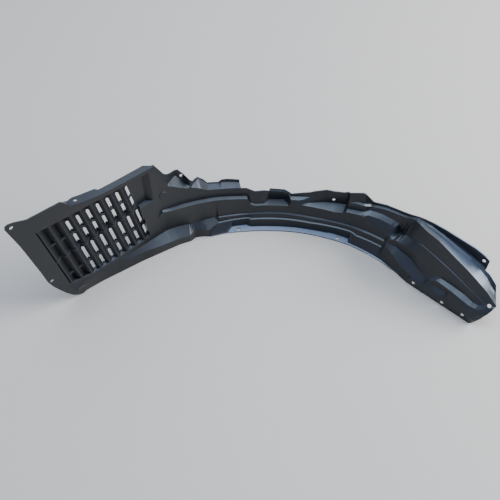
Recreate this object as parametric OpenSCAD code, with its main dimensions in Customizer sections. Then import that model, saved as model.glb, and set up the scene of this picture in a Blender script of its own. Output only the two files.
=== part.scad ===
// Wheel arch liner, front half, with a louvred air outlet ahead of the wheel.
// One thin moulding. It lies on its fender lip, so the wheel axle points up (+Z).
// +X runs rearwards along the car, +Y points away from the wheel, millimetres.
// The origin is the centre of the front lip clip hole, on the lip's underside.
//
// Everything is placed along a spine: an arc about the wheel axle that runs on
// as a straight line at both ends. A place on the liner is given as
//   q  degrees along the spine from top dead centre, plus towards the rear
//   d  distance outside the spine, away from the wheel
//   z  height above the fender lip

/* [Wheel arch] */
// Radius of the fender lip about the wheel axle
arch_r = 375; // [340:1:420]
// Wall thickness of the moulding
wall = 2.5; // [2:0.1:3.5]
// Height of the liner at the flange over the louvre panel
band_h = 251; // [230:1:280]
// Angle at which the arch runs straight ahead of the wheel
front_bend = -31; // [-33:0.5:-29]
// Angle at which the arch runs straight behind the wheel
rear_bend = 41; // [39:0.5:43]

/* [Louvre panel] */
// Angle between the louvre panel and the straight skirt below it
panel_turn = 8.4; // [6:0.2:11]
// Depth of the louvre valleys behind the face of the panel
louvre_depth = 11; // [8:0.5:14]
// Distance from one louvre valley to the next
louvre_pitch = 22.3; // [20:0.1:22.4]
// Lean of the louvres towards the front, in degrees
louvre_lean = 9; // [6:0.5:10]
// Number of louvre valleys without slots at the front end
blind_valleys = 3; // [0:1:5]
// Width of one air slot
slot_w = 6.5; // [4:0.5:8]
// Height of the ribs between the rows of slots
rib_h = 5; // [3:0.5:8]
// Depth of the flange on top of the panel
flange_w = 15.5; // [12:0.5:20]

/* [Clip holes] */
// Diameter of the clip and screw holes
hole_d = 8.5; // [6:0.1:10]
// Diameter of the two locating holes in the back wall
pin_d = 7; // [5:0.1:8]

/* [Hidden] */
$fn = 48;
seam = -36.6;             // the panel ends and the moulded arch begins
mm = arch_r * PI / 180;   // length of one degree along the spine
zs = band_h / 251;        // heights are drawn for a 251 mm band

// Clip holes in the lip tabs: [q, d]
lip_front = [-10.9, 10];
lip_rear = [22.7, 8];
// Clip holes in the rear skirt: [q, height]
skirt_holes = [[52.9, 12.5], [63.9, 9.5], [71.4, 12.5]];

// Character lines of the wheel side, from the fender lip to the inboard edge.
// Each has its points as [q, d, z]. Between two points it runs straight in q, d and z.
lip = [
    [-68.5, 13, 0.7], [-60, 18, 0.7], [-45, 21, 0.5], [-31, 19, 0.5], [-27.2, 15, 0.5],
    [-25.2, 20, 0.5], [-21.5, 13, 0.5], [-17.4, 10, 0.5], [-17, 8, 2.5], [-14.3, 6, 2.5],
    [-7.4, 2, 2.5], [0, 0, 2.5], [19.4, 0, 2.5], [26.6, 1.5, 2.5], [39, 0, 2.5],
    [46.5, -4, 2.5], [50, -7, 0.5], [51.5, -7.5, 0.1], [77.5, -7.5, 0.1], [79, -6, 3]
];
skirt_top = [
    [-68.5, 5.5, 30], [-66, 9, 32.5], [-62.4, 14.2, 33.5], [-58.4, 17.5, 31], [-53.5, 21, 29],
    [-49, 22, 27], [-43.5, 23.5, 26], [-38, 20, 25], [-31, 18, 23], [-27.4, 13.5, 23],
    [-25, 24, 24], [-21.4, 12, 24], [-17.4, 11, 24], [-17, 12, 9], [-14.5, 12, 8],
    [-14.1, 21, 2.5], [-8, 21, 2.5], [-7.2, 14, 2.5], [0, 12, 2.5], [12, 12.5, 2.5],
    [18.9, 14, 2.5], [19.3, 16, 2.5], [25.9, 17, 2.5], [26.5, 6, 2.5], [31, 5, 2.5],
    [39, 3, 3.5], [46.5, -1, 6], [50, -6, 12], [51.5, -7.5, 18.5], [77.5, -7.5, 18.5],
    [79, -4, 17]
];
ramp_top = [
    [-68.5, 9, 50], [-65.5, 12, 46], [-62.4, 15, 41], [-53.1, 24.3, 37], [-36.6, 40, 37],
    [-33.5, 42.5, 38], [-29.3, 38, 38], [-26, 33, 38], [-23, 31, 38], [-17.4, 31, 38],
    [-17, 22, 24], [-7.5, 21.5, 24], [-6.9, 17, 24], [6, 15, 24], [13, 13.5, 24], [20, 17, 24],
    [26, 18.5, 26], [27.5, 18, 24], [28.3, 15, 24], [37.5, 16, 26], [38.6, 16, 42],
    [42.1, 6, 42], [44.5, 3, 35], [46.5, 1, 30], [48.2, -0.6, 27], [50, -2.2, 25],
    [51.5, -3, 24], [57.4, -5, 23.5], [76, -5, 24], [79, 1, 25]
];
step_back = [
    [-68.5, 9, 58], [-65.5, 12, 52], [-62.4, 15, 47], [-53.1, 24.3, 46], [-36.6, 40.3, 46],
    [-33.5, 42.5, 46], [-29.3, 38, 46], [-26, 33, 46], [-23, 31, 46], [-17.4, 31, 45],
    [-17, 25, 25], [-7.5, 24.5, 25], [-6.9, 20, 25], [6, 18, 25], [13, 16.5, 25], [20, 20, 25],
    [26, 21.5, 27], [27.5, 21, 25], [28.3, 18, 25], [37.5, 19, 27.5], [38.6, 20, 46],
    [42.1, 20, 52], [48.2, 18, 47], [51.5, 12, 40], [55.8, 4, 34], [57.4, 0, 36.5],
    [58.8, 3.5, 32], [63.6, 3.5, 31.5], [65.2, -2, 36.5], [69.4, -2, 32], [72, -2, 30],
    [76, -1, 33], [79, 3, 35]
];
wall_top = [
    [-36.6, 40.3, 58], [-33.5, 42, 60], [-29.3, 37, 58], [-26, 32.8, 56], [-17.4, 30.8, 51],
    [-17, 26, 38], [-12.8, 26, 35], [-6.9, 24, 34], [0, 22, 36], [6, 21.5, 35], [13, 20.5, 33],
    [20, 22, 34], [26, 24, 36], [31, 22, 39], [37.5, 22, 42], [38.6, 22, 52], [42.1, 20.5, 60],
    [48.2, 18, 59], [51.5, 12.5, 50], [55.8, 8, 42], [60, 6.5, 46.5], [65, 4, 46.5],
    [69.4, 3.5, 41.2], [72, 3.5, 38.3], [76, 4, 42], [79, 8, 41.5]
];
step_top = [
    [-36.6, 40.3, 68], [-33.5, 41.5, 72], [-29.3, 36.5, 70], [-26, 32.6, 66], [-17.4, 30.8, 56],
    [-17, 29, 39], [-12.8, 29, 36], [-6.9, 27, 36], [0, 25, 38], [6, 24.5, 37], [13, 24, 35],
    [20, 25, 36], [26, 27, 38], [31, 26, 41], [37.5, 26, 44], [38.6, 24, 57],
    [39.6, 22.8, 61.3], [41.3, 22, 68], [43, 21.5, 70], [44.5, 20.3, 72.7], [46.5, 17.8, 76.6],
    [48.2, 16.8, 76.8], [50, 15.5, 73.2], [51.5, 14.5, 68.3], [55.8, 13.5, 58.5],
    [60.5, 16, 49], [65, 16, 48], [69, 15.5, 45.7], [72, 14, 40.8], [76, 10, 47.5], [79, 12, 48]
];
crease = [
    [-36.6, 40.3, 78], [-34, 40.5, 82], [-31, 37, 80], [-26, 32.5, 77], [-21, 31.3, 70],
    [-17.4, 31, 66], [-17, 28.5, 61], [-10, 28.5, 51], [-6.9, 28.3, 49], [-6.5, 27, 47],
    [10, 26.5, 48], [22, 27, 50], [24, 27, 54], [29, 28, 58], [34, 28.5, 61], [37.5, 28, 64],
    [38.6, 27, 62.5], [40.4, 26.5, 61.5], [41.3, 40, 66.8], [42.1, 45.5, 72.5],
    [43, 40.5, 79.6], [44.5, 36.5, 83.3], [46.5, 29.5, 90.4], [48.2, 26.5, 92.5],
    [50, 25.3, 98.5], [55.8, 24.5, 89.5], [61.7, 23.5, 79], [67.8, 21.5, 65.7],
    [72.5, 20.5, 57], [76, 17, 54], [79, 16, 56]
];
shelf_front = [
    [-36.6, 40.3, 94], [-34.4, 38, 107], [-30.6, 33, 105], [-27, 32, 102], [-22.5, 32, 97],
    [-17.5, 32, 92], [-11.4, 32, 83], [-6.9, 32, 78], [-6.4, 28, 58], [5.2, 28, 57],
    [6, 29, 60], [9.7, 29, 63], [20, 28.5, 63], [22.5, 29, 68], [23.6, 28.5, 75],
    [28.6, 29, 81], [30.2, 30, 70], [34, 31, 69], [38.1, 32.5, 71.5], [40.4, 38, 62.5],
    [41.3, 47.5, 68], [42.1, 48.8, 84], [43, 51.5, 108], [44.5, 52.5, 123], [46.5, 45, 129.5],
    [50, 38.5, 129.5], [54.5, 34, 130], [57.8, 34, 121], [61, 33, 113], [65.7, 32, 102],
    [69.6, 31, 91], [74.2, 29, 77], [77, 26, 67], [79, 23, 60]
];
shelf_mid = [
    [-36.6, 40.3, 95.5], [-34.4, 40, 108.5], [-30.6, 37.5, 105.5], [-27, 37, 102.5],
    [-22.5, 37, 97], [-17.5, 37, 92], [-11.4, 37, 83], [-6.9, 37, 78], [-6.4, 31, 58],
    [-2.2, 31, 57.5], [-0.6, 38, 57], [3.8, 38, 57], [5.2, 31, 57.5], [6, 30, 62],
    [9.7, 30.5, 64.5], [13.3, 35, 64.5], [16.3, 38, 65], [20, 41, 65], [22.5, 41, 68.5],
    [23.6, 33.5, 76], [28.6, 34, 82], [30.2, 37, 81], [34, 39.5, 82.5], [37.5, 40, 82.5],
    [39.1, 41, 81.5], [40.4, 43, 65], [41.3, 49.5, 71], [42.1, 50.5, 93], [43, 53.5, 113],
    [44.5, 55.5, 122.2], [46.5, 51, 128.5], [50, 47, 128], [54.5, 46, 124], [57.6, 46, 118],
    [64.6, 45, 104], [69.1, 45, 92], [74.5, 45, 72], [77, 43, 62], [79, 40, 52]
];
shelf_back = [
    [-36.6, 40.4, 97], [-34.4, 43, 110], [-30.6, 42, 105], [-27, 42, 102], [-22.5, 42, 96.5],
    [-17.5, 42, 91.5], [-11.4, 42, 82.5], [-6.9, 42, 77.5], [-6.4, 34, 58], [-2.2, 34, 57.5],
    [-0.6, 48, 56], [3.8, 48, 56], [5.2, 34, 57.5], [6, 31, 64], [9.7, 32, 66], [13.3, 41, 65],
    [16.3, 48, 65.5], [20, 53, 66], [22.5, 54, 69], [23.6, 38.5, 76], [28.6, 39.5, 83],
    [30.2, 49, 85], [34, 50, 89], [37.5, 50, 89], [39.6, 50, 87], [40.4, 50, 68.5],
    [41.3, 51, 79], [42.1, 52.7, 103], [43, 55.7, 117], [44.5, 58, 122], [46.5, 56.5, 126.5],
    [50, 56, 124], [54.5, 56, 120], [57.6, 56, 115], [64.6, 55, 103], [69.1, 55, 93],
    [74.5, 53, 74], [77, 51, 67], [79, 50, 62]
];
rim_front = [
    [-36.6, 41, 236], [-35.4, 43, 236], [-33.3, 44, 206], [-31.8, 44, 178], [-29.6, 44, 165.5],
    [-27.4, 44, 153], [-24.7, 44, 139.8], [-24.2, 44, 142.5], [-22.1, 44, 133],
    [-19.4, 44, 118.5], [-15.2, 44, 111.5], [-9.2, 44, 104], [-6.9, 44, 99], [-6.4, 44, 94],
    [-5, 44, 88], [-2.2, 45, 88], [-0.6, 49, 82], [3.8, 49, 79.5], [5.2, 45, 79], [6, 34, 72],
    [8.5, 34, 73], [11.6, 40, 75], [13.3, 46, 82], [16.3, 51, 84], [20, 54, 84],
    [22.5, 54.5, 90], [23.6, 40, 96], [28.6, 40.5, 101], [30.2, 54, 92], [34, 55, 101],
    [38.6, 55, 107.5], [41.3, 55, 113], [44.5, 60, 122.5], [46.5, 60, 126], [50, 60, 126],
    [54.5, 60, 122], [57.6, 60, 117], [64.6, 60, 106], [69.1, 60, 98], [70.2, 60, 94],
    [79, 56, 75]
];
rim_back = [
    [-36.6, 42, 243], [-35.4, 44.5, 244], [-33.3, 46, 218], [-31.8, 45, 185], [-31.3, 45, 179],
    [-29.6, 56, 172.5], [-27.4, 70, 166.5], [-25.8, 60, 150], [-24.7, 45.4, 142.5],
    [-24.2, 45.4, 145.4], [-22.1, 60, 138], [-21, 66, 138], [-18.5, 66, 112.5],
    [-15.2, 66, 106], [-14.2, 66, 109], [-9.2, 66, 98], [-6.4, 54, 94], [-0.6, 51.5, 84],
    [3.8, 51.5, 81.5], [5.2, 46, 80.5], [6, 43, 74], [11.6, 43, 78], [13.3, 47, 88],
    [16.3, 52, 91], [20, 54.5, 91], [22.5, 55, 97], [23.6, 42, 106], [25.9, 45, 101],
    [28.6, 46, 103], [30.2, 62, 92], [34, 62, 101], [38.6, 62, 106.5], [41.3, 62, 112],
    [44.5, 62, 123.5], [46.5, 61.5, 128], [50, 61.5, 129], [54.5, 61.5, 126], [57.6, 61.8, 121],
    [62, 62, 114], [64.6, 62, 109], [69.1, 62, 101], [70.2, 62, 98], [79, 57, 78]
];
edge = [
    [-36.6, 43, 251], [-34.8, 45.5, 250], [-33.3, 47, 230], [-31.8, 48.5, 210],
    [-30.2, 54, 197], [-28.8, 62.5, 187.5], [-27.4, 71.5, 179], [-26.5, 70.5, 179.5],
    [-25.3, 66, 166], [-24.7, 52, 168.5], [-24.2, 49.5, 160], [-22.9, 55.5, 146.5],
    [-22.1, 61.5, 144.5], [-21, 68, 140.5], [-19.4, 68, 127], [-18.5, 68, 115],
    [-15.2, 68, 108.5], [-14.2, 68, 115.5], [-9.2, 68, 104], [-6.4, 56, 97], [-0.6, 53, 86],
    [3.8, 53, 83.5], [5.2, 47, 82.5], [6, 44, 80], [8.5, 44, 85], [11.6, 45, 91],
    [13.3, 48, 95], [16.3, 53, 100], [18.9, 55, 99], [21.5, 55.5, 103], [22.5, 56, 108],
    [23.6, 44, 121], [27.6, 46, 133], [28.6, 47, 130], [30.2, 62.5, 98], [34, 63, 106],
    [38.6, 63, 111.5], [41.3, 63, 117], [44.5, 63, 126], [46.5, 62.5, 130], [50, 62, 134],
    [54.5, 62, 136], [64.6, 62, 135], [68.6, 62, 130], [70.2, 62, 124], [79, 58, 82]
];
lines = [
    lip, skirt_top, ramp_top, step_back, wall_top, step_top, crease,
    crease, shelf_front, shelf_mid, shelf_back, rim_front, rim_back, edge
];

// The crease is in the list twice. Behind the wheel its second line is the back
// of a small step in the wall, and elsewhere that line lies on the face above it
step_line = 7;
step_d = 1.8;
step_z = 1;

// How far each line runs at the rear end, which is cut at a slant
rear_stop = [74.9, 76, 76.8, 77.3, 77.9, 78.3, 78.6, 78.6, 78.9, 77.6, 76.3, 75.2, 75, 75];

// How far the foot of the front ledge's riser leans forward on the lowest lines
riser_slant = [3.8, 3.5, 0.5];

// Ahead of the seam the moulding is only a skirt, up to this line
skirt_lines = 3;

// The louvre panel starts here and is turned away from the straight skirt
panel_q = -61.8;
panel_d = 15.6;

function clamp(v, lo, hi) = min(max(v, lo), hi);

// Wheel-axis coordinates of a place on the liner
function on_spine(q, d, z) =
    let (a = clamp(q, front_bend, rear_bend), s = (q - a) * mm, r = arch_r + d)
    [r * sin(a) + s * cos(a), r * cos(a) - s * sin(a), z * zs];

function key(line, q) = [
    for (i = [0:len(line) - 2])
        if (q <= line[i + 1][0] || i == len(line) - 2)
            let (a = line[i], b = line[i + 1], f = clamp((q - a[0]) / (b[0] - a[0]), 0, 1))
            a + f * (b - a)
][0];

// The riser of the front ledge runs slantwise over the lip, and the rear end is
// cut at a slant, so a station isn't at the same q on every line
function real_q(j, q) =
    q < -60 && j > 1 ? q + (q + 60) * 0.3
    : q > -22 && q < -14.3 && j < 3 ? q - riser_slant[j] * (q > -17 ? (-14.3 - q) / 2.7 : (q + 22) / 5)
    : q > 72 ? q - (q - 72) / 7 * (79 - rear_stop[j])
    : q;

function line_at(j, q) =
    j != step_line ? key(lines[j], q)
    : q > 49.9 ? key(crease, q) + clamp((76 - q) / 8, 0.2, 1) * [0, step_d, step_z]
    : key(crease, q) * 0.7 + key(shelf_front, q) * 0.3;

function place(j, q) =
    let (p = line_at(j, q), a = real_q(j, q))
    on_spine(a, j > 1 && j < 11 && q < seam + 0.01 ? behind_panel(a) : p[1], p[2]);

function sorted(v) =
    len(v) < 2 ? v
    : let (p = v[floor(len(v) / 2)])
    concat(sorted([for (x = v) if (x < p) x]), [p], sorted([for (x = v) if (x > p) x]));

// Stations: every point of every line, none closer than a third of a degree
key_q = sorted([for (line = lines, p = line) p[0]]);
apart = [for (i = [0:len(key_q) - 1]) if (i == 0 || key_q[i] - key_q[i - 1] > 0.32) key_q[i]];
stations = [
    for (i = [0:len(apart) - 1])
        let (gap = i == len(apart) - 1 ? 0 : apart[i + 1] - apart[i], n = max(1, ceil(gap / 3.5)))
        for (k = [0:(gap == 0 ? 0 : n - 1)]) apart[i] + gap * k / n
];

// True where the sheet has a cell between lines j and j + 1 at angle q
function has_cell(q, j) =
    q < seam ? j < skirt_lines
    : j < 11 ? true
    : q < -9.2 ? true
    : q < -0.6 ? false
    : q < 70.2;

function unit(v) = let (n = norm(v)) n == 0 ? v : v / n;

// The distance d of a point 0.3 mm behind the face of the panel
function behind_panel(q) = panel_d + (q - panel_q) * mm * tan(panel_turn) + 0.3;

// The offset of a grid point that keeps the wall thickness behind every face
// that meets there: the least squares solution of (face normal . x = thickness)
function mitre(ns, t) =
    let (
        n = len(ns),
        e = 0.04,
        ones = [for (v = ns) 1],
        a = [for (r = [0:2]) [for (c = [0:2]) (r == c ? e : 0) + [for (v = ns) v[r] * v[c]] * ones]],
        b = t * ones * ns,
        det = a[0] * cross(a[1], a[2])
    )
    (cross(a[1], a[2]) * b[0] + cross(a[2], a[0]) * b[1] + cross(a[0], a[1]) * b[2]) / det;

// A sheet of thickness t behind the grid of the character lines
module sheet(t) {
    m = len(lines);
    n = len(stations);
    front = [for (i = [0:n - 1]) [for (j = [0:m - 1]) place(j, stations[i])]];
    cell = [
        for (i = [0:n - 2])
            [for (j = [0:m - 2]) has_cell((stations[i] + stations[i + 1]) / 2, j)]
    ];
    normal = [
        for (i = [0:n - 2])
            [
                for (j = [0:m - 2])
                    unit(cross(front[i + 1][j + 1] - front[i][j], front[i + 1][j] - front[i][j + 1]))
            ]
    ];
    back = [
        for (i = [0:n - 1])
            [
                for (j = [0:m - 1])
                    let (
                        ns = [
                            for (a = [i - 1, i], b = [j - 1, j])
                                if (a >= 0 && a < n - 1 && b >= 0 && b < m - 1 && cell[a][b]) normal[a][b]
                        ]
                    )
                    len(ns) == 0 ? front[i][j] : front[i][j] + mitre(ns, t)
            ]
    ];
    points = concat([for (row = front, p = row) p], [for (row = back, p = row) p]);
    h = n * m;
    faces = [
        for (i = [0:n - 2], j = [0:m - 2])
            if (cell[i][j])
                let (
                    a = i * m + j,
                    b = a + 1,
                    c = a + m + 1,
                    d = a + m,
                    rim = [
                        if (i == 0 || !cell[i - 1][j]) [a, b],
                        if (i == n - 2 || !cell[i + 1][j]) [c, d],
                        if (j == 0 || !cell[i][j - 1]) [d, a],
                        if (j == m - 2 || !cell[i][j + 1]) [b, c]
                    ]
                )
                for (f = concat(
                    [[a, b, c], [a, c, d], [h + a, h + c, h + b], [h + a, h + d, h + c]],
                    [for (e = rim) each [[e[0], h + e[0], h + e[1]], [e[0], h + e[1], e[1]]]]
                ))
                    f
    ];
    polyhedron(points, faces, convexity = 12);
}

// Stands its children at q, d, z with +Y pointing away from the wheel
module stand(q, d, z) {
    translate(on_spine(q, d, z)) rotate([0, 0, -clamp(q, front_bend, rear_bend)]) children();
}

// A hole along the local Y axis
module cross_hole(dia) {
    rotate([90, 0, 0]) cylinder(d = dia, h = 40, center = true);
}

// Louvre panel: drawn flat, x along the panel, z up, y behind its face
module panel_frame() {
    stand(panel_q, panel_d, 0) rotate([0, 0, panel_turn]) children();
}

// An outline in x and z, given a thickness from y0 to y1
module slab(y0, y1) {
    translate([0, y1, 0]) rotate([90, 0, 0]) linear_extrude(height = y1 - y0) children();
}

// Scales an outline's heights with the band
function tall(outline) = [for (p = outline) [p[0], p[1] * zs]];

// Moves an outline's sides out by e, its points running anticlockwise
function grown(o, e) =
    let (n = len(o))
    [
        for (i = [0:n - 1])
            let (
                u = unit(o[i] - o[(i + n - 1) % n]),
                v = unit(o[(i + 1) % n] - o[i]),
                a = [u[1], -u[0]],
                b = [v[1], -v[0]]
            )
            o[i] + e * (a + b) / (1 + a * b)
    ];

panel_outline = tall([
    [-98, 101], [-92, 82], [-81, 57], [-69, 33], [-58, 16], [-48, 6], [-38, 2], [-30, 3],
    [-24, 30], [-10, 35], [169, 36], [169, 251], [98, 254], [54, 257], [20, 264], [-3, 270],
    [-10, 274], [-14, 280], [-21, 291], [-26, 295], [-46, 296], [-94, 298], [-116, 308],
    [-127, 311], [-134, 309], [-136, 302], [-122, 242], [-105, 145]
]);
field_outline = tall([
    [-56, 55], [-30, 47], [-6, 43], [144, 52], [133, 154], [166, 157], [163, 242],
    [58, 246], [-13, 248], [-87, 253]
]);
flange_line = [
    [-21, 291], [-14, 280], [-10, 274], [-3, 270], [20, 264], [54, 257], [98, 254], [169, 251],
    [178, 250.5]
];
flange_plan = [
    [-21, 0.3], [-14, 0.75 * flange_w], [4, flange_w + 4.5], [53, flange_w + 4.5], [58, flange_w - 1.5],
    [161, flange_w], [178, 2.5], [178, 0.3]
];

// Valleys of the louvres at half height, and the rows of slots as height at
// x = -12 from, to, and rise per mm along the panel
valleys = 9;
valley_x = 124.5 - valleys * louvre_pitch;
crest_in = 0.45 * louvre_pitch;
crest_y = 0.6;
rows = [[45, 75, 0.085], [89, 132, 0.085], [157, 182, 0.06], [197, 227, 0]];
webs = [[80.5, 0.085], [187.5, 0.03]];
ledge_row = [141.5, 0.07];

// One louvre from valley to valley, moved forward by lift
module louvre_band(lift, thick) {
    polygon([
        [0, louvre_depth - lift], [crest_in - 1, crest_y - lift], [crest_in + 1, crest_y - lift],
        [louvre_pitch, louvre_depth - lift], [louvre_pitch + 0.4, louvre_depth + thick],
        [crest_in + 1.4, crest_y + thick + 0.6], [crest_in - 0.6, crest_y + thick + 0.6],
        [0.4, louvre_depth + thick]
    ]);
}

// A rib across a valley, between two rows of slots
module web_outline() {
    front = 0.5 * louvre_depth;
    polygon([
        [-0.35 * louvre_pitch, front - 0.5], [0, front + 1.5], [0.28 * louvre_pitch, front - 0.5],
        [1.5, louvre_depth + 1], [-1.5, louvre_depth + 1]
    ]);
}

// Where a line of the leaning louvres, at x when at half height, meets height z
function lean_x(x, z) = x / cos(louvre_lean) - (z - 150) * zs * tan(louvre_lean);

// Distance along a leaning louvre at which it reaches height z at place x
function along(x, z) = 150 * zs + ((z - 150) * zs - x * sin(louvre_lean)) / cos(louvre_lean);

// The louvres lean towards the front about mid height
module leaning() {
    translate([0, 0, 150 * zs]) rotate([0, -louvre_lean, 0]) translate([0, 0, -150 * zs]) children();
}

module louvres() {
    for (k = [0:valleys - 1])
        let (x = valley_x + k * louvre_pitch)
            union() {
                translate([x, 0, 20 * zs]) linear_extrude(height = 260 * zs) louvre_band(0, 1.9);
                translate([x, 0, along(x, ledge_row[0] + ledge_row[1] * (x + 12))])
                    linear_extrude(height = rib_h) louvre_band(2.4, 1);
            }
    for (k = [1:valleys - 1], r = webs)
        let (x = valley_x + k * louvre_pitch)
            translate([x, 0, along(x, r[0] + r[1] * (x + 12))])
                linear_extrude(height = rib_h) web_outline();
}

module slots() {
    for (k = [blind_valleys:valleys], r = rows)
        let (
            x = valley_x + k * louvre_pitch,
            z0 = along(x, r[0] + r[2] * (x + 12)),
            z1 = along(x, r[1] + r[2] * (x + 12))
        )
            translate([x - slot_w / 2, -3, z0]) cube([slot_w, 30, z1 - z0]);
}

module louvre_panel() {
    back = louvre_depth + wall;
    last = valley_x + valleys * louvre_pitch;
    difference() {
        slab(0, wall) polygon(panel_outline);
        slab(-1, wall + 1) polygon(field_outline);
    }
    // side walls of the recess
    difference() {
        slab(0.3, back) polygon(grown(field_outline, wall));
        slab(-1, back + 1) polygon(field_outline);
    }
    // louvres, and the blank floor and slanted side beside the last one
    intersection() {
        slab(0, back + 1) polygon(grown(field_outline, wall / 2));
        difference() {
            union() {
                leaning() louvres();
                slab(louvre_depth, back)
                    polygon([
                        [lean_x(last, 30), 30 * zs], [175, 30 * zs],
                        [175, 255 * zs], [lean_x(last, 255), 255 * zs]
                    ]);
                translate([0, 0, 153 * zs])
                    linear_extrude(height = 100 * zs)
                        polygon([
                            [163.5, 0.3], [169, 0.3], [169, back], [150, back],
                            [150, louvre_depth], [152.5, louvre_depth]
                        ]);
            }
            leaning() slots();
        }
    }
    // flange along the top, with the wider tab at its front end
    intersection() {
        slab(0.3, 40)
            polygon(concat(
                tall(flange_line),
                [for (i = [len(flange_line) - 1:-1:0]) [flange_line[i][0], flange_line[i][1] * zs - wall]]
            ));
        linear_extrude(height = 400 * zs) polygon(flange_plan);
    }
}

module liner() {
    color([0.09, 0.09, 0.1])
        translate(-on_spine(lip_front[0], lip_front[1], 0))
            difference() {
                union() {
                    sheet(wall);
                    panel_frame() louvre_panel();
                    // low round boss beside the panel
                    stand(-33.4, 45, 155) rotate([90, 0, 0]) cylinder(d1 = 24, d2 = 15, h = 3.4);
                }
                // lip tabs
                for (h = [lip_front, lip_rear])
                    stand(h[0], h[1], 0) cylinder(d = hole_d, h = 20, center = true);
                // skirt and end of the rear
                for (h = skirt_holes)
                    stand(h[0], -6, h[1]) cross_hole(hole_d);
                stand(77, 19, 55) rotate([-22, 0, 0]) cross_hole(hole_d);
                stand(68.6, 63, 115) cross_hole(hole_d);
                // back wall
                stand(18.7, 54, 75) cross_hole(pin_d);
                stand(-25.9, 64, 164) cross_hole(pin_d);
                // panel corners and the flange tab
                panel_frame() translate([-124, 0, 299 * zs]) cross_hole(hole_d);
                panel_frame() translate([-89.5, 0, 98 * zs]) cross_hole(hole_d);
                panel_frame() translate([7, 11, 265 * zs]) cylinder(d = pin_d, h = 24, center = true);
            }
}

liner();
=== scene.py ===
import math

import bmesh
import bpy
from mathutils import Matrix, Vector


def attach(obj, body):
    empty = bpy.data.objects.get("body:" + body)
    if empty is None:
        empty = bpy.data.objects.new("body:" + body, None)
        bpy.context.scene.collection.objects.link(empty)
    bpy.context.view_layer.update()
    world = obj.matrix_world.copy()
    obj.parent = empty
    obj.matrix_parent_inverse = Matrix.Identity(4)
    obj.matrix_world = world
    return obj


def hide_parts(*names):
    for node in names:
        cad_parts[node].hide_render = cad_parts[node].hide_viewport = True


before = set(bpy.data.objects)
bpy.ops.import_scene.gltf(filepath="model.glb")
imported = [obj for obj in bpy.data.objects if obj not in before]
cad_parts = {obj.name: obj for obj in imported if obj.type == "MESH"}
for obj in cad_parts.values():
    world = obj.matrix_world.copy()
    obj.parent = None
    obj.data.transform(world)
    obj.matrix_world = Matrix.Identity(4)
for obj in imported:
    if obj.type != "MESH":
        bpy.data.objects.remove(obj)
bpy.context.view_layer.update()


# The camera stands in front of the wheel side of the liner and looks down at it.
# Its tilt and lens angle were judged from the photo and not measured. Its distance
# makes the arc of the lip come out at a radius of 375 mm.
camera_at = (0.0252, -1.0470, 1.3643)
camera_down = math.radians(54)
sensor_width = 36
focal_length = 54.72
farthest_view = 50

lens = bpy.data.cameras.new("photo_camera")
lens.sensor_width = sensor_width
lens.lens = focal_length
lens.clip_end = farthest_view
camera = bpy.data.objects.new("photo_camera", lens)
camera.location = camera_at
camera.rotation_euler = (math.radians(90) - camera_down, 0, 0)
bpy.context.scene.collection.objects.link(camera)
bpy.context.scene.camera = camera


# The floor is plain pale concrete, matt and of one colour. It reaches 24 m each
# way, so that its edge lies far behind the liner from every side.
floor_half_width = 24
concrete_colour = (0.40, 0.34, 0.28, 1)
concrete_roughness = 0.95
concrete_shine = 0.2


class Value:
    """A shader socket that can be used in Python sums."""

    def __init__(self, socket):
        self.socket = socket

    def _math(self, operation, other, flip=False):
        tree = self.socket.node.id_data
        node = tree.nodes.new("ShaderNodeMath")
        node.operation = operation
        pair = (other, self) if flip else (self, other)
        for slot, item in zip(node.inputs, pair):
            if isinstance(item, Value):
                tree.links.new(item.socket, slot)
            else:
                slot.default_value = item
        return Value(node.outputs[0])

    def __add__(self, other):
        return self._math("ADD", other)

    __radd__ = __add__

    def __sub__(self, other):
        return self._math("SUBTRACT", other)

    def __rsub__(self, other):
        return self._math("SUBTRACT", other, flip=True)

    def __mul__(self, other):
        return self._math("MULTIPLY", other)

    __rmul__ = __mul__

    def __gt__(self, other):
        return self._math("GREATER_THAN", other)

    def power(self, other):
        return self._math("POWER", other)

    def most(self, other):
        return self._math("MAXIMUM", other)

    def least(self, other):
        return self._math("MINIMUM", other)


class Finish:
    """A material whose nodes are added one call at a time."""

    def __init__(self, name):
        self.material = bpy.data.materials.new(name)
        self.material.use_nodes = True
        self.tree = self.material.node_tree
        self.shader = self.tree.nodes["Principled BSDF"]

    def node(self, kind, settings=None, **sockets):
        """Adds a node: its settings go in first, then the values or links of its sockets."""
        node = self.tree.nodes.new("ShaderNode" + kind)
        for name, value in (settings or {}).items():
            if name == "stops":
                ramp = node.color_ramp
                while len(ramp.elements) < len(value):
                    ramp.elements.new(0.5)
                for stop, (position, shade) in zip(ramp.elements, value):
                    stop.position = position
                    stop.color = (shade, shade, shade, 1)
            else:
                setattr(node, name, value)
        for name, value in sockets.items():
            self.plug(node.inputs[name.replace("_", " ")], value)
        return node

    def plug(self, socket, value):
        if isinstance(value, Value):
            self.tree.links.new(value.socket, socket)
        elif isinstance(value, bpy.types.NodeSocket):
            self.tree.links.new(value, socket)
        else:
            socket.default_value = value

    def surface(self, name, value):
        self.plug(self.shader.inputs[name], value)

    def blend(self, amount, low, high):
        """Goes from the colour low to the colour high as amount goes from 0 to 1."""
        # A Mix node takes its amount in slot 0 and its colours in slots 6 and 7,
        # and gives the mixed colour at output 2.
        mix = self.node("Mix", {"data_type": "RGBA"})
        for slot, value in ((0, amount), (6, low), (7, high)):
            self.plug(mix.inputs[slot], value)
        return mix.outputs[2]


floor_mesh = bpy.data.meshes.new("floor")
build = bmesh.new()
bmesh.ops.create_grid(build, x_segments=1, y_segments=1, size=floor_half_width)
build.to_mesh(floor_mesh)
build.free()
floor = bpy.data.objects.new("floor", floor_mesh)
bpy.context.scene.collection.objects.link(floor)

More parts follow.
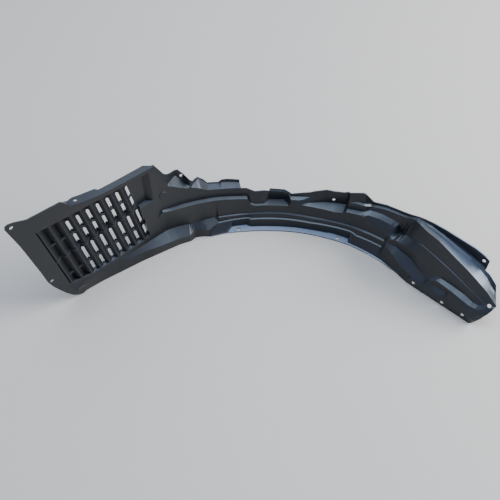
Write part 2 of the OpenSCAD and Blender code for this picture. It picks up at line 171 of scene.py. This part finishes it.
concrete = Finish("pale_concrete")
concrete.surface("Base Color", concrete_colour)
concrete.surface("Roughness", concrete_roughness)
concrete.surface("Specular IOR Level", concrete_shine)
floor_mesh.materials.append(concrete.material)


# The light is soft: a blue sky all round, a bluish box overhead, a weak wide one
# behind, and a bright one past the right-hand end, low enough for the rear shelf
# to mirror it towards the camera.
sky_colour = (0.51, 0.66, 1.0, 1)
sky_strength = 1.2
arch_middle = (0.1, -0.1, 0.1)
rear_shelf = (0.45, -0.15, 0.1)

sky = bpy.data.worlds.new("dull_sky")
sky.use_nodes = True
sky.node_tree.nodes["Background"].inputs["Color"].default_value = sky_colour
sky.node_tree.nodes["Background"].inputs["Strength"].default_value = sky_strength
bpy.context.scene.world = sky


def soft_box(name, stand, aim, size, power, tint):
    """A flat lamp that stands at one point and faces another. Its power is in watts."""
    lamp = bpy.data.lights.new(name, "AREA")
    lamp.shape = "RECTANGLE"
    lamp.size, lamp.size_y = size
    lamp.energy = power
    lamp.color = tint
    light = bpy.data.objects.new(name, lamp)
    light.location = stand
    light.rotation_euler = (Vector(aim) - Vector(stand)).to_track_quat("-Z", "Y").to_euler()
    bpy.context.scene.collection.objects.link(light)


soft_box("side_light", (2.95, 0.29, 1.69), rear_shelf, (2.2, 1.8), 310, (0.80, 0.89, 1.0))
soft_box("back_light", (-0.26, 1.96, 2.78), arch_middle, (4.5, 1.6), 24, (1.0, 0.97, 0.90))
soft_box("top_light", (0.1, 0.15, 3.69), arch_middle, (3.0, 2.0), 155, (0.62, 0.80, 1.0))


# The liner is one injection moulding in black polypropylene, about 2.5 mm thick.
# The real mould has small radii along every fold, so a copy of the solid gets
# them here, and the sheet shades as one smooth surface between its folds.
merge_distance = 0.00002
flat_angle = math.radians(0.6)
fold_angle = math.radians(24)
fold_radius = 0.0008
crease_angle = math.radians(32)
ledge_corner = Vector((-0.102, -0.024, 0.026))
corner_reach = 0.012
corner_blend = 0.25

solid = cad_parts["liner"]
liner_mesh = solid.data.copy()
liner_mesh.name = "liner_moulding"
liner_mesh.materials.clear()
liner = bpy.data.objects.new("liner_moulding", liner_mesh)
bpy.context.scene.collection.objects.link(liner)

build = bmesh.new()
build.from_mesh(liner_mesh)
bmesh.ops.remove_doubles(build, verts=build.verts, dist=merge_distance)
bmesh.ops.dissolve_degenerate(build, dist=merge_distance, edges=build.edges)
bmesh.ops.dissolve_limit(build, angle_limit=flat_angle, verts=build.verts, edges=build.edges)

# The corner where the front ledge turns into its ramp is blended, not creased.
corner = [vert for vert in build.verts if (vert.co - ledge_corner).length < corner_reach]
bmesh.ops.smooth_vert(
    build, verts=corner, factor=corner_blend, use_axis_x=True, use_axis_y=True, use_axis_z=True
)

# The rounded faces are marked, for their wear and the painted highlight on them.
worn_fold = build.faces.layers.float.new("worn_fold")
folds = [
    edge for edge in build.edges
    if len(edge.link_faces) == 2 and edge.calc_face_angle(0) > fold_angle
]
rounded = bmesh.ops.bevel(
    build, geom=folds, affect="EDGES", offset=fold_radius, offset_type="OFFSET",
    segments=2, profile=0.5, material=-1, clamp_overlap=True, loop_slide=True
)
for face in rounded["faces"]:
    face[worn_fold] = 1
bmesh.ops.triangulate(build, faces=[face for face in build.faces if len(face.verts) > 4])
for face in build.faces:
    face.smooth = True
build.to_mesh(liner_mesh)
build.free()
liner_mesh.set_sharp_from_angle(angle=crease_angle)

# The plastic is satin black with a fine moulded grain and faint handling marks.
# What faces up holds a little dust and gets a painted highlight of the sky over it,
# and the folds are rubbed paler and smoother, with a painted highlight where they face up.
# The lip and the rear shelf get a pale bluish painted reflection of the sky.
deep_black = (0.005, 0.0052, 0.0057, 1)
soft_black = (0.008, 0.0082, 0.009, 1)
dust_and_highlight_colour = (0.18, 0.187, 0.20, 1)
dust_and_highlight_share = 0.5
mark_colour = (0.20, 0.20, 0.20, 1)
mark_share = 0.12
painted_reflection_colour = (0.142, 0.16, 0.196, 1)
painted_reflection_share = 0.6
rubbed_and_highlight_colour = (0.16, 0.17, 0.19, 1)
plastic_shine = 0.42
plastic_roughness = 0.31

# A scale says how many cells of a pattern there are to a metre. The streaks are
# also stretched on each axis, so that they come out long and thin.
grain_scale = 1500.0
pebble_scale = 520.0
mottle_scale = 60.0
cloud_scale = 7.0
streak_scale = 4.0
streak_stretch = (3.0, 42.0, 60.0)
streak_turn = (0.2, 0.3, 0.5)
streaks_seen = [(0.60, 0.0), (0.74, 1.0)]
grain_depth = 0.00006
grain_strength = 0.3

# This is where the dust and painted highlight, the painted reflection and the worn,
# highlighted folds lie. A steepness says how fast one fades as the surface tilts
# away from level, and a slope is per metre.
dust_and_highlight_steepness = 6.0
panel_flange_foot = 0.20
shed_slope = 14.0
most_shed = 0.85
painted_reflection_steepness = 3.0
lip_top = 0.0035
lip_painted_reflection = 1.6
shelf_start = 0.39
shelf_start_slope = 20.0
shelf_foot = 0.06
shelf_foot_slope = 30.0
panel_edge = -0.22
panel_wear_and_highlight = 1.6

plastic = Finish("satin_black_plastic")
place = plastic.node("TexCoord").outputs["Object"]


def noise(at, scale, detail, roughness):
    texture = plastic.node("TexNoise", Vector=at, Scale=scale, Detail=detail, Roughness=roughness)
    return Value(texture.outputs["Fac"])


def part_of(vector, axis):
    return Value(plastic.node("SeparateXYZ", Vector=vector).outputs[axis])


def rise(value, start, slope):
    """Climbs from 0 at the start to 1, by slope for each metre."""
    return ((value - start) * slope).most(0.0).least(1.0)


grain = noise(place, grain_scale, 3.0, 0.6)
pebbles = plastic.node("TexVoronoi", {"feature": "F1"}, Vector=place, Scale=pebble_scale)
pebble = Value(pebbles.outputs["Distance"])
cloud = noise(place, cloud_scale, 4.0, 0.55)
mottle = noise(place, mottle_scale, 5.0, 0.65)
drawn_out = plastic.node("Mapping", Vector=place, Rotation=streak_turn, Scale=streak_stretch)
streaks = noise(drawn_out.outputs["Vector"], streak_scale, 6.0, 0.7)
picked = plastic.node("ValToRGB", {"stops": streaks_seen}, Fac=streaks)
marks = Value(picked.outputs["Color"])

facing_up = part_of(plastic.node("NewGeometry").outputs["Normal"], "Z").most(0.0)
along = part_of(place, "X")
height = part_of(place, "Z")

# Less of the dust and painted highlight lies on the high flange of the panel than on the ledges
# near the ground.
shed = rise(height, panel_flange_foot, shed_slope).least(most_shed)
dust_and_highlight = facing_up.power(dust_and_highlight_steepness) * cloud * (mottle * 0.8 + 0.45) * (1.0 - shed)

# The lip and the rear shelf get a pale bluish painted reflection of the sky.
on_lip = (lip_top - height) > 0.0
on_shelf = rise(along, shelf_start, shelf_start_slope) * rise(height, shelf_foot, shelf_foot_slope)
painted_reflection = facing_up.power(painted_reflection_steepness) * (on_lip * lip_painted_reflection + on_shelf) * (mottle * 0.5 + 0.75)

# The folds of the panel's ribs are rubbed most and get the most painted highlight.
worn_and_highlight_mask = Value(plastic.node("Attribute", {"attribute_name": "worn_fold"}).outputs["Fac"])
rubbed_and_highlight = worn_and_highlight_mask * (mottle * 1.2).least(1.0)
on_ribs = (panel_edge - along) > 0.0
# Folds are painted paler where they face up, a painted highlight on top of their wear.
paled_and_highlight = (rubbed_and_highlight * (facing_up * 0.8 + 0.1) * (1.0 + on_ribs * panel_wear_and_highlight)).least(1.0)

# Over the black go the dust and painted highlight, the marks, the painted reflection and the worn,
# highlighted folds.
black = plastic.blend(cloud, deep_black, soft_black)
with_dust_and_highlight = plastic.blend(dust_and_highlight * dust_and_highlight_share, black, dust_and_highlight_colour)
marked = plastic.blend(marks * mark_share, with_dust_and_highlight, mark_colour)
with_painted_reflection = plastic.blend((painted_reflection * painted_reflection_share).least(1.0), marked, painted_reflection_colour)
plastic.surface("Base Color", plastic.blend(paled_and_highlight, with_painted_reflection, rubbed_and_highlight_colour))
roughness = plastic_roughness + cloud * 0.07 + mottle * 0.06 + dust_and_highlight * 0.10 - rubbed_and_highlight * 0.07
plastic.surface("Roughness", roughness)
plastic.surface("Specular IOR Level", plastic_shine)
relief = grain * 0.6 + pebble * 0.6
bump = plastic.node("Bump", Strength=grain_strength, Distance=grain_depth, Height=relief)
plastic.surface("Normal", bump.outputs["Normal"])
liner_mesh.materials.append(plastic.material)

keep_flat = liner.modifiers.new("weighted_normals", "WEIGHTED_NORMAL")
keep_flat.keep_sharp = True
keep_flat.weight = 50

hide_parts("liner")
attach(liner, "root")
